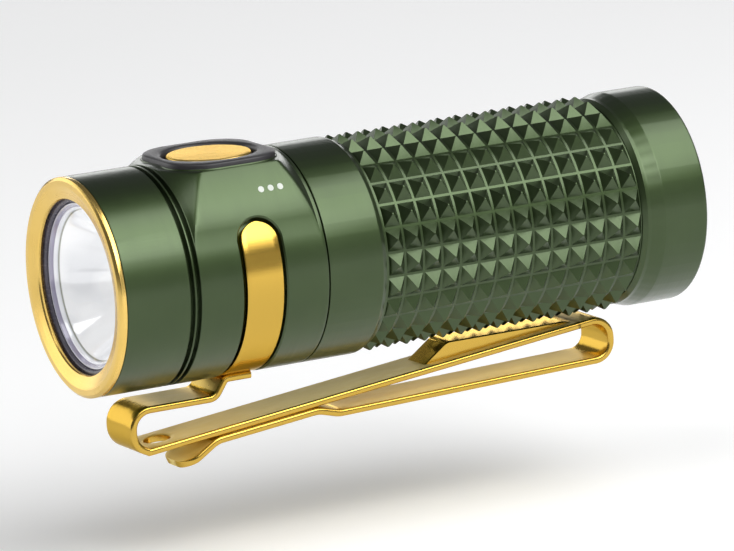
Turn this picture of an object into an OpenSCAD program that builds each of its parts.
// Compact side-switch flashlight: one cylindrical cell, press-on two-way pocket clip, magnetic tail.
// The light lies along Y. The centre of the flat tail face is the origin, the beam leaves towards -Y,
// +Z is the switch side and the clip hangs below the body. Distances "from the tail" run along -Y.

/* [Cell] */
// Outer diameter of the cell over its sleeve
cell_diameter = 16.5; // [14:0.1:20]
// Length of the cell from its base to the tip of its positive button
cell_length = 34.5; // [28:0.5:50]
// Radial play between the cell and the tube bore
cell_play = 0.25; // [0.15:0.05:0.6]

/* [Walls and thread] */
// Radial height from the tube bore to the crest of the spigot thread
spigot_wall = 0.8; // [0.7:0.05:1.4]
// Depth of the spigot thread
thread_depth = 0.35; // [0.2:0.05:0.45]
// Axial pitch of the thread
thread_pitch = 1.0; // [0.75:0.25:1.5]
// Length of the threaded spigot
spigot_length = 3.45; // [3:0.05:4]
// Radial running clearance of the thread
thread_gap = 0.05; // [0.02:0.01:0.1]
// Wall of the head around the thread
head_wall = 1.15; // [1.1:0.05:1.8]
// Width of the fine gap between head and tube
seam_gap = 0.1; // [0.05:0.05:0.3]

/* [Tail] */
// Thickness of the closed tail wall
tail_wall = 1.2; // [0.8:0.1:2.5]
// Diameter of the tail magnet
magnet_diameter = 13; // [8:0.5:14]
// Thickness of the tail magnet
magnet_thickness = 2.0; // [1.5:0.1:4]
// Thickness of the tail contact board
tail_board_thickness = 0.8; // [0.6:0.1:1.6]
// Height of the tail spring with the cell in place
tail_spring_height = 4.25; // [3.5:0.05:6]
// Length of the smooth tail band
tail_band_length = 4.75; // [3:0.25:7]

/* [Grip] */
// Distance from the tail to the start of the knurled grip
grip_start = 6.9; // [6.9:0.1:9]
// Length of the knurled grip
grip_length = 27.8; // [20:0.1:28]
// Axial pitch of the grip rings
ring_pitch = 2.0; // [1.5:0.1:3]
// Depth of the grooves between the rings
grip_depth = 0.85; // [0.3:0.05:0.9]
// Drop of the plain necks at both ends of the grip
neck_drop = 0.4; // [0.2:0.05:0.6]

/* [Head] */
// Length of the head from the tube seam to its front face
head_length = 21.75; // [21:0.25:28]
// Clear radius removed from the body radius at the lens opening
bezel_width = 2.15; // [1.6:0.05:2.6]
// Length of the bezel ring that stands in front of the housing
bezel_lip = 0.7; // [0.5:0.05:1.5]
// Length of the bezel skirt inside the housing
bezel_skirt = 2.5; // [2:0.1:3]
// Wall of the bezel skirt
skirt_wall = 0.5; // [0.4:0.05:0.7]
// Thickness of the front gasket
gasket_thickness = 1.0; // [0.6:0.1:1.5]
// Radial width of the gasket that shows inside the lens opening
gasket_show = 0.75; // [0.3:0.05:1.2]
// Thickness of the optic's flange
optic_flange = 1.0; // [0.6:0.1:1.5]
// Thickness of the LED board
led_board_thickness = 1.2; // [0.8:0.1:1.6]
// Thickness of the wall between the LED board and the driver
shelf_thickness = 1.2; // [1:0.1:2]
// Thickness of the driver board
driver_thickness = 1.0; // [0.8:0.1:1.6]
// Length of the driver retaining ring
driver_ring_length = 0.9; // [0.6:0.1:1.5]

/* [Cooling grooves] */
// Distance from the head's front face to the middle of the groove pair
groove_setback = 7.8; // [6.5:0.1:8.5]
// Width of one groove
groove_width = 0.46; // [0.3:0.02:0.6]
// Width of the rib between the grooves
groove_rib = 0.2; // [0.15:0.05:0.4]
// Depth of the grooves
groove_depth = 0.65; // [0.3:0.05:0.7]

/* [Switch] */
// Distance from the seam to the middle of the switch
switch_reach = 6.65; // [6.5:0.05:9]
// Length of the switch ring along the light
ring_length = 11.0; // [10.5:0.1:12]
// Width of the switch ring across the light
ring_width = 11.9; // [11:0.1:12.4]
// Corner radius of the switch ring
ring_corner = 3.8; // [2:0.1:5]
// Radius of the opening in the switch ring
ring_opening = 4.5; // [4.3:0.05:4.8]
// Height of the ring's top above the body surface
ring_rise = 0.4; // [0.2:0.05:0.8]
// Thickness of the switch ring
ring_thickness = 1.0; // [0.8:0.05:1.2]
// Radius of the button
button_radius = 4.05; // [3.6:0.05:4.2]
// Travel of the button
button_travel = 0.3; // [0.2:0.05:0.3]
// Play between the ring and its pocket
pocket_play = 0.08; // [0.05:0.01:0.2]

/* [Clip] */
// Width of the clip strip
clip_width = 5.6; // [4:0.1:8]
// Thickness of the clip strip
clip_thickness = 0.7; // [0.5:0.05:0.9]
// Width of the clip collar along the light
collar_width = 3.85; // [3:0.05:4.2]
// Play around the collar in its slot
collar_play = 0.3; // [0.1:0.05:0.5]
// Angle from the top of the body to the middle of the collar's round ends
collar_end_angle = 69; // [60:1:85]
// Radius of the lanyard hole
lanyard_radius = 1.3; // [0.8:0.1:1.6]
// Height of the ridge top below the grip, the gap that holds cloth
ridge_gap = 0.35; // [0.3:0.05:1]
// Tilt of the arm against the body, in degrees
arm_tilt = 6.05; // [4:0.05:8]

/* [Hidden] */
$fn = 96;
slack = 0.02;                // face gap that keeps two bodies apart without showing
far = 40;                    // longer than any cut needs to be

// Radii, from the cell outwards
cell_r = cell_diameter / 2;
bore_r = cell_r + cell_play;
spigot_r = bore_r + spigot_wall;
thread_root_r = spigot_r - thread_depth;
head_thread_r = spigot_r + thread_gap;
body_r = head_thread_r + head_wall;
cavity_r = bore_r - 0.2;
edge = 0.3;                  // outer edge chamfers

// Stations from the tail, along the light
magnet_s = tail_wall;
tail_board_s = magnet_s + magnet_thickness;
tail_spring_s = tail_board_s + tail_board_thickness;
cell_s = tail_spring_s + tail_spring_height;
cell_end_s = cell_s + cell_length;
cell_button_height = 1.1;
can_end_s = cell_end_s - cell_button_height;
can_r = cell_r - 0.1;        // under the cell's thin sleeve
seam_inset = 1.5;            // the positive button reaches this far into the head
seam_s = cell_end_s - seam_inset;
tube_end_s = seam_s - seam_gap;
spigot_end_s = tube_end_s + spigot_length;
front_s = seam_s + head_length;
housing_end_s = front_s - bezel_lip;
skirt_end_s = housing_end_s - bezel_skirt;
optic_face_s = housing_end_s - gasket_thickness;
flange_s = optic_face_s - optic_flange;
cavity_start_s = spigot_end_s + 0.15;

// Head stack, from the shelf
shelf_depth = 10.4;          // front face to the front of the shelf
shelf_end_s = front_s - shelf_depth;
shelf_s = shelf_end_s - shelf_thickness;
driver_s = shelf_s - driver_thickness;
driver_ring_s = driver_s - driver_ring_length;
led_s = shelf_end_s + led_board_thickness;
led_size = 3.5;
led_height = 0.7;
holder_height = 2.2;

// Front cavity radii
optic_cavity_r = body_r - 1.5;
optic_r = optic_cavity_r - 0.1;
skirt_r = body_r - 0.9;
skirt_bore_r = skirt_r - skirt_wall;
opening_r = body_r - bezel_width;
gasket_bore_r = opening_r - gasket_show;
led_board_r = optic_cavity_r - 0.1;
optic_base_r = 3.6;
optic_base_s = led_s + 0.45;
holder_r = 5.2;
holder_bore_r = optic_base_r + 1.25;   // clears the optic's bowl
led_wire_reach = 6.2;        // from the light's axis to each LED wire

// Switch heights
switch_s = seam_s + switch_reach;
ring_top = body_r + ring_rise;
pocket_z = ring_top - ring_thickness;
pad_top = body_r - 0.15;
facet_angle = 60;            // from the top to where each side facet touches the body
facet_reach = body_r - 0.03;   // from the axis to each facet's plane
pad_half = (facet_reach - pad_top * cos(facet_angle)) / sin(facet_angle);
boot_flange = 0.15;
boot_wall = 0.25;
well_r = 2.9;
well_z = cavity_r + 0.7;
boot_floor = 0.28;
boot_flange_r = 5.1;
button_base = pocket_z + boot_flange + button_travel + 0.05;
button_thickness = 0.45;
boss_r = well_r - boot_wall - 0.2;
boss_z = well_z + boot_floor + slack + button_travel + 0.04;
plunger_hole_r = 1.2;
plunger_r = 0.9;
tact_top = cavity_r - 0.32;
tact_height = 1.25;
tact_size = [3.6, 3.0];
switch_board_size = [5.2, 0.8];

// Collar and its slot
collar_s = switch_s;
slot_floor_r = body_r - 0.85;
collar_inner_r = slot_floor_r + 0.1;
collar_outer_r = collar_inner_r + clip_thickness;
slot_half = collar_width / 2 + collar_play;

// Clip centre line in [distance from tail, height]
half_t = clip_thickness / 2;
plate_z = -(body_r + 0.05);
split_gap = 0.04;            // between the clip's three solids
bend_s = front_s - 4.05;
bend_r = 1.85;
bend_lead = 0.15;            // straight length between a bend and the end of its solid
tail_bend_s = 7.2;
tail_bend_r = 1.75;
tail_bend_top = -(body_r + 0.45);
arm_slope = -tan(arm_tilt);
bend_reach = tan(45 + arm_tilt / 2);     // length that a bend into the arm takes up, in bend radii
bend_low_z = tail_bend_top + arm_slope * (bend_s - tail_bend_s);
front_split_z = bend_low_z + bend_r * bend_reach + bend_lead + split_gap;
shank_z = front_split_z + bend_r + bend_lead;
tail_split_z = tail_bend_top - tail_bend_r * bend_reach - bend_lead;
tail_bend_low = tail_split_z - split_gap - tail_bend_r - bend_lead;
arms_apart = clip_thickness + 0.1;
nip_s = collar_s - 8.5;      // where the two arms come together
lip_s = collar_s + 2.4;      // where the outer arm curls away
hole_s = bend_s - 3.55;

function arm_z(s) = tail_bend_top + arm_slope * (s - tail_bend_s);
function outer_z(s) = arm_z(s) - arms_apart;

// ---- helpers ----

// Draws along the light: local x is x, local y is up, local z is the distance from the tail.
module lengthwise() {
    rotate([90, 0, 0]) children();
}

// A full turn about the light's axis of an outline given in [radius, distance from the tail].
module turned(outline) {
    lengthwise() rotate_extrude() polygon(outline);
}

// A plain ring about the light's axis.
module ring(inner, outer, start, end) {
    turned([[inner, start], [outer, start], [outer, end], [inner, end]]);
}

// A side view in [distance from tail, height], made this wide across the light.
module side_view(width) {
    rotate([90, 0, -90]) translate([0, 0, -width / 2]) linear_extrude(width) children();
}

// Moves children to the middle of the switch, z up.
module at_switch(z) {
    translate([0, -switch_s, z]) children();
}

module rounded_rectangle(width, length, corner) {
    union() {
        square([width - 2 * corner, length], center = true);
        square([width, length - 2 * corner], center = true);
        for (x = [-1, 1], y = [-1, 1])
            translate([x * (width / 2 - corner), y * (length / 2 - corner)]) circle(corner);
    }
}

function unit(v) = v / norm(v);

// The arc that rounds corner b between a and c with radius r.
function corner_arc(a, b, c, r, steps = 8) =
    let (u = unit(a - b), w = unit(c - b), half = acos(u * w) / 2)
    let (p = b + u * r / tan(half), q = b + w * r / tan(half))
    let (m = b + unit(u + w) * r / sin(half))
    let (start = atan2(p.y - m.y, p.x - m.x), end = atan2(q.y - m.y, q.x - m.x))
    let (raw = end - start, sweep = raw > 180 ? raw - 360 : raw < -180 ? raw + 360 : raw)
    [for (i = [0:steps]) m + r * [cos(start + sweep * i / steps), sin(start + sweep * i / steps)]];

// A centre line through the points, with its inner corners rounded to the radii.
function rounded_line(p, r) = concat([p[0]],
    [for (i = [1:len(p) - 2]) each corner_arc(p[i - 1], p[i], p[i + 1], r[i - 1])],
    [p[len(p) - 1]]);

function normal_at(p, i) =
    let (d = unit(p[min(i + 1, len(p) - 1)] - p[max(i - 1, 0)])) [-d.y, d.x];

// The outline of a strip of even thickness along a centre line.
function strip_outline(p, t) = concat(
    [for (i = [0:len(p) - 1]) p[i] + normal_at(p, i) * t / 2],
    [for (i = [len(p) - 1:-1:0]) p[i] - normal_at(p, i) * t / 2]);

module clip_strip(points, radii, width) {
    side_view(width) polygon(strip_outline(rounded_line(points, radii), clip_thickness));
}

// A round wire wound about the light's axis: radius r0 at the start, r1 at the end.
module coil_spring(r0, r1, wire_r, start, end, turns) {
    per_turn = 20;
    sides = 8;
    rings = turns * per_turn;
    rise = end - start - 2 * wire_r;
    function centre(i) = let (f = i / rings, a = 360 * turns * f, r = r0 + (r1 - r0) * f)
        [r * cos(a), r * sin(a), start + wire_r + rise * f];
    points = [for (i = [0:rings], j = [0:sides - 1])
        let (c = centre(i), a = 360 * i / per_turn, b = 360 * j / sides)
        c + wire_r * [cos(b) * cos(a), cos(b) * sin(a), sin(b)]];
    walls = [for (i = [0:rings - 1], j = [0:sides - 1]) let (k = (j + 1) % sides)
        [i * sides + j, i * sides + k, (i + 1) * sides + k, (i + 1) * sides + j]];
    first = [for (j = [sides - 1:-1:0]) j];
    last = [for (j = [0:sides - 1]) rings * sides + j];
    lengthwise() polyhedron(points, concat([first], walls, [last]), convexity = 10);
}

// The band about the body that a collar fills, or a slot clears, with round ends at its top gap.
module collar_band(inner, outer, half_width, end_r) {
    union() {
        lengthwise() rotate([0, 0, 90 + collar_end_angle])
            rotate_extrude(angle = 360 - 2 * collar_end_angle)
                translate([inner, collar_s - half_width]) square([outer - inner, 2 * half_width]);
        for (side = [-1, 1])
            lengthwise() rotate([0, 0, 90 + side * collar_end_angle])
                translate([inner, 0, collar_s]) rotate([0, 90, 0]) cylinder(r = end_r, h = outer - inner);
    }
}

// ---- head ----

module bezel_ring() {
    color("goldenrod") turned([
        [skirt_bore_r, skirt_end_s], [skirt_r - slack, skirt_end_s], [skirt_r - slack, housing_end_s],
        [body_r - 0.1, housing_end_s], [body_r, housing_end_s + 0.1], [body_r, front_s - 0.25],
        [body_r - 0.25, front_s], [body_r - 0.85, front_s], [opening_r + 0.12, front_s - 0.3],
        [opening_r, front_s - 0.42], [opening_r, housing_end_s], [skirt_bore_r, housing_end_s]]);
}

module front_gasket() {
    round_r = gasket_thickness / 2;
    color("black") union() {
        ring(gasket_bore_r + round_r, skirt_bore_r, optic_face_s, housing_end_s);
        lengthwise() rotate_extrude() translate([gasket_bore_r + round_r, optic_face_s + round_r])
            circle(round_r, $fn = 32);
    }
}

// A collimating optic: flange, bowl-shaped reflecting wall and a well over the emitter.
module tir_optic() {
    depth = flange_s - optic_base_s;
    steps = 10;
    wall_r = optic_r - 0.9;
    bowl = [for (i = [0:steps]) let (f = i / steps)
        [optic_base_r + (wall_r - optic_base_r) * pow(f, 0.62), optic_base_s + depth * f]];
    well_top = optic_base_s + 3.2;
    color("lightcyan", 0.5) turned(concat([[2.3, optic_base_s]], bowl,
        [[optic_r, flange_s], [optic_r, optic_face_s], [0, optic_face_s],
         [0, well_top], [1.3, well_top - 0.3]]));
}

module optic_holder() {
    color("white") difference() {
        union() {
            ring(0, holder_r, led_s, led_s + 0.35);
            ring(holder_bore_r, holder_r, led_s + 0.35, led_s + holder_height * 0.45);
        }
        lengthwise() translate([-led_size / 2 - 0.1, -led_size / 2 - 0.1, led_s - 1])
            cube([led_size + 0.2, led_size + 0.2, 4]);
    }
}

module led_emitter() {
    color("gold") lengthwise() union() {
        translate([-led_size / 2, -led_size / 2, led_s]) cube([led_size, led_size, led_height * 0.6]);
        translate([-1.2, -1.2, led_s + led_height * 0.6]) cube([2.4, 2.4, led_height * 0.4]);
    }
}

module wire_pair(r, start, end) {
    for (side = [-1, 1]) translate([side * led_wire_reach, 0, 0])
        lengthwise() translate([0, 0, start]) cylinder(r = r, h = end - start, $fn = 32);
}

module led_board() {
    color("white") difference() {
        ring(0, led_board_r, shelf_end_s, led_s);
        wire_pair(0.75, shelf_end_s - 1, led_s + 1);
    }
}

module led_wires() {
    color("red") wire_pair(0.5, driver_s + driver_thickness, led_s + 0.3);
}

module pad_block() {
    tangent = facet_reach * [sin(facet_angle), cos(facet_angle)];
    intersection() {
        lengthwise() translate([0, 0, seam_s]) linear_extrude(head_length) polygon([
            [0, 0], [tangent.x, 0], tangent, [pad_half, pad_top],
            [-pad_half, pad_top], [-tangent.x, tangent.y], [-tangent.x, 0]]);
        turned([[0, seam_s], [body_r - 0.1, seam_s], [body_r + 0.05, seam_s + 0.45],
            [body_r + 1.62, switch_s - 4.1], [body_r + 1.8, switch_s - 3.6],
            [body_r + 1.8, switch_s + 3.2], [body_r + 1.42, switch_s + 4.2],
            [body_r + 0.9, switch_s + 5.3], [body_r, switch_s + 6.75], [0, switch_s + 6.75]]);
    }
}

module head_housing() {
    groove_s = front_s - groove_setback;
    color("darkolivegreen") difference() {
        union() {
            turned([[0, seam_s], [body_r - 0.1, seam_s], [body_r, seam_s + 0.1],
                [body_r, housing_end_s - 0.1], [body_r - 0.1, housing_end_s], [0, housing_end_s]]);
            pad_block();
        }
        // female thread, driver cavity, wire holes, optic cavity and bezel seat
        ring(0, head_thread_r, seam_s - 1, cavity_start_s);
        turned([[0, seam_s - 1], [head_thread_r + 0.25, seam_s - 1],
            [head_thread_r + 0.25, seam_s], [head_thread_r, seam_s + 0.25], [0, seam_s + 0.25]]);
        ring(0, cavity_r, seam_s - 1, shelf_s);
        wire_pair(0.8, shelf_s - 1, shelf_end_s + 1);
        ring(0, optic_cavity_r, shelf_end_s, front_s);
        ring(0, skirt_r, skirt_end_s, front_s);
        for (side = [-1, 1])
            ring(body_r - groove_depth, far,
                groove_s + side * (groove_rib + groove_width) / 2 - groove_width / 2,
                groove_s + side * (groove_rib + groove_width) / 2 + groove_width / 2);
        // switch pocket with a chamfered rim, button well and plunger hole
        at_switch(pocket_z) linear_extrude(far) rounded_rectangle(
            ring_width + 2 * pocket_play, ring_length + 2 * pocket_play, ring_corner + pocket_play);
        at_switch(well_z) cylinder(r = well_r, h = far);
        at_switch(cavity_r - 1) cylinder(r = plunger_hole_r, h = far);
        collar_band(slot_floor_r, body_r + 3, slot_half, slot_half + 0.06);
    }
}

// ---- switch ----

module switch_ring() {
    color([0.13, 0.13, 0.14]) at_switch(pocket_z) difference() {
        linear_extrude(ring_thickness) rounded_rectangle(ring_width, ring_length, ring_corner);
        translate([0, 0, -1]) cylinder(r = ring_opening, h = far);
        translate([0, 0, -1]) cylinder(r = boot_flange_r + 0.05, h = 1 + boot_flange + slack);
        translate([0, 0, ring_thickness - 0.2]) cylinder(r1 = ring_opening, r2 = ring_opening + 0.3, h = 0.3);
    }
}

module switch_boot() {
    color([0.2, 0.2, 0.2]) at_switch(0) rotate_extrude() polygon([
        [0, well_z + slack], [well_r - slack, well_z + slack], [well_r - slack, pocket_z],
        [boot_flange_r, pocket_z], [boot_flange_r, pocket_z + boot_flange],
        [well_r - boot_wall, pocket_z + boot_flange], [well_r - boot_wall, well_z + boot_floor + slack],
        [0, well_z + boot_floor + slack]]);
}

module button_cap() {
    top = button_base + button_thickness;
    color("gold") at_switch(0) rotate_extrude() polygon([
        [0, boss_z], [boss_r, boss_z], [boss_r, button_base], [button_radius, button_base],
        [button_radius, top - 0.22], [button_radius - 0.22, top - 0.02], [button_radius - 0.5, top],
        [0, top]]);
}

module tact_switch() {
    base = tact_top - tact_height;
    color("dimgray") at_switch(base) union() {
        translate([-tact_size.x / 2, -tact_size.y / 2, 0]) cube([tact_size.x, tact_size.y, tact_height]);
        cylinder(r = plunger_r, h = well_z - base);
    }
}

module switch_board() {
    top = tact_top - tact_height;
    rear = switch_s - tact_size.y / 2 - 0.1;
    color("green") translate([-switch_board_size.x / 2, -driver_s, top - switch_board_size.y])
        cube([switch_board_size.x, driver_s - rear, switch_board_size.y]);
}

// ---- driver ----

module driver_board() {
    color("darkgreen") ring(0, cavity_r - 0.05, driver_s, shelf_s);
}

module driver_inductor() {
    color([0.25, 0.25, 0.27]) lengthwise() translate([-5.6, -4.6, driver_s - 1.8]) cube([3.2, 3.2, 1.8]);
}

module driver_chip() {
    color([0.1, 0.1, 0.1]) lengthwise() translate([3.0, -4.2, driver_s - 0.8]) cube([2.6, 2.6, 0.8]);
}

module driver_retaining_ring() {
    color("silver") difference() {
        ring(cavity_r - 0.9, cavity_r - 0.03, driver_ring_s, driver_s);
        for (side = [-1, 1]) translate([side * (cavity_r - 0.45), 0, -0.6])
            lengthwise() translate([0, 0, driver_ring_s - 1]) cylinder(r = 0.35, h = 1.6, $fn = 32);
    }
}

module driver_spring() {
    color("peru") coil_spring(2.6, 1.7, 0.25, cell_end_s + slack, driver_s, 5);
}

// ---- clip ----

module clip_collar() {
    start = collar_s - collar_width / 2;
    color("gold") union() {
        collar_band(collar_inner_r, collar_outer_r, collar_width / 2, collar_width / 2 - 0.1);
        clip_strip([[start, plate_z], [collar_s + 1.1, plate_z], [collar_s + 2.3, shank_z],
            [bend_s, shank_z], [bend_s, front_split_z]], [0.6, 1.2, bend_r], clip_width);
        // shoulder that joins the flat plate to the round collar
        side_view(clip_width) translate([start + 0.05, plate_z])
            square([collar_s + 0.8 - start, half_t + 0.25]);
    }
}

module clip_arm() {
    ridge_top = -(body_r + ridge_gap);
    ridge_front = collar_s - 20;
    color("gold") difference() {
        union() {
            clip_strip([[bend_s, front_split_z - split_gap], [bend_s, bend_low_z],
                [tail_bend_s, tail_bend_top], [tail_bend_s, tail_split_z]],
                [bend_r, tail_bend_r], clip_width);
            side_view(clip_width * 0.62) polygon([
                [ridge_front, arm_z(ridge_front)], [ridge_front - 3.2, ridge_top],
                [tail_bend_s + 4.6, ridge_top], [tail_bend_s + 2.6, arm_z(tail_bend_s + 2.6)]]);
        }
        translate([0, -hole_s, arm_z(hole_s)]) rotate([-atan(arm_slope), 0, 0])
            cylinder(r = lanyard_radius, h = 6, center = true);
    }
}

module clip_outer_arm() {
    color("gold") clip_strip([[tail_bend_s, tail_split_z - split_gap], [tail_bend_s, tail_bend_low],
        [nip_s - 2.2, outer_z(nip_s) - 0.58], [nip_s, outer_z(nip_s)], [lip_s, outer_z(lip_s)],
        [lip_s + 2.3, outer_z(lip_s) - 1.45], [lip_s + 3.6, outer_z(lip_s) - 1.95]],
        [tail_bend_r, 3, 3, 2.5, 2], clip_width);
}

// ---- tube ----

// One grip ring: a ridge with sloping flanks, listed from its tail side.
function grip_ring(i, pitch) = let (s = grip_start + i * pitch, flat = 0.12)
    [[body_r - grip_depth, s + flat], [body_r - 0.05, s + pitch / 2 - 0.06],
     [body_r - 0.05, s + pitch / 2 + 0.06], [body_r - grip_depth, s + pitch - flat]];

// One crest of the spigot thread.
function thread_crest(i) = let (s = tube_end_s + 1.45 + i * thread_pitch)
    [[thread_root_r, s], [spigot_r, s + 0.3], [spigot_r, s + 0.42], [thread_root_r, s + 0.72]];

module battery_tube() {
    rings = round(grip_length / ring_pitch);
    pitch = grip_length / rings;
    grip_end = grip_start + grip_length;
    crests = floor((spigot_length - 1.45) / thread_pitch);
    neck_r = body_r - neck_drop;
    color("darkolivegreen") difference() {
        turned(concat(
            [[0, 0], [body_r - edge, 0], [body_r, edge], [body_r, tail_band_length],
             [neck_r, tail_band_length + 1.3], [neck_r, grip_start]],
            [for (i = [0:rings - 1]) each grip_ring(i, pitch)],
            [[neck_r, grip_end], [neck_r, grip_end + 0.25], [body_r, grip_end + 0.8],
             [body_r, tube_end_s - 0.1], [body_r - 0.1, tube_end_s],
             [spigot_r - 0.05, tube_end_s], [spigot_r - 0.05, tube_end_s + 0.3],
             [thread_root_r - 0.1, tube_end_s + 0.3], [thread_root_r - 0.1, tube_end_s + 1.2],
             [thread_root_r, tube_end_s + 1.2]],
            [for (i = [0:crests - 1]) each thread_crest(i)],
            [[thread_root_r, spigot_end_s - 0.15], [thread_root_r - 0.15, spigot_end_s],
             [0, spigot_end_s]]));
        ring(0, bore_r, magnet_s, spigot_end_s + 1);
    }
}

module tube_o_ring() {
    groove_r = thread_root_r - 0.1;
    wire_r = (spigot_r + thread_gap - 0.03 - groove_r) / 2;
    color("black") lengthwise() rotate_extrude()
        translate([groove_r + wire_r, tube_end_s + 0.75]) circle(wire_r, $fn = 32);
}

module tail_spring() {
    color("peru") coil_spring(5.6, 3.0, 0.35, tail_spring_s, cell_s - slack, 4);
}

module tail_board() {
    color("darkgreen") ring(0, bore_r - 0.05, tail_board_s, tail_spring_s);
}

module tail_magnet() {
    color("silver") ring(0, magnet_diameter / 2, magnet_s, tail_board_s);
}

module magnet_spacer() {
    color("white") ring(magnet_diameter / 2 + 0.05, bore_r - 0.05, magnet_s, tail_board_s);
}

// ---- cell ----

module cell_can() {
    color("silver") turned([[0, cell_s], [can_r - 0.5, cell_s], [can_r, cell_s + 0.5],
        [can_r, can_end_s - 0.5], [can_r - 0.5, can_end_s], [0, can_end_s]]);
}

module cell_sleeve() {
    color("royalblue") ring(can_r, cell_r, cell_s + 0.5, can_end_s - 0.5);
}

module cell_insulator() {
    color("white") ring(3.3, can_r - 0.6, can_end_s, can_end_s + 0.3);
}

module cell_positive_button() {
    color("silver") ring(0, 3.0, can_end_s, cell_end_s);
}

bezel_ring();
front_gasket();
tir_optic();
optic_holder();
led_emitter();
led_board();
led_wires();
head_housing();
switch_ring();
switch_boot();
button_cap();
tact_switch();
switch_board();
driver_board();
driver_inductor();
driver_chip();
driver_retaining_ring();
driver_spring();
clip_collar();
clip_arm();
clip_outer_arm();
battery_tube();
tube_o_ring();
cell_can();
cell_sleeve();
cell_insulator();
cell_positive_button();
tail_spring();
tail_board();
tail_magnet();
magnet_spacer();
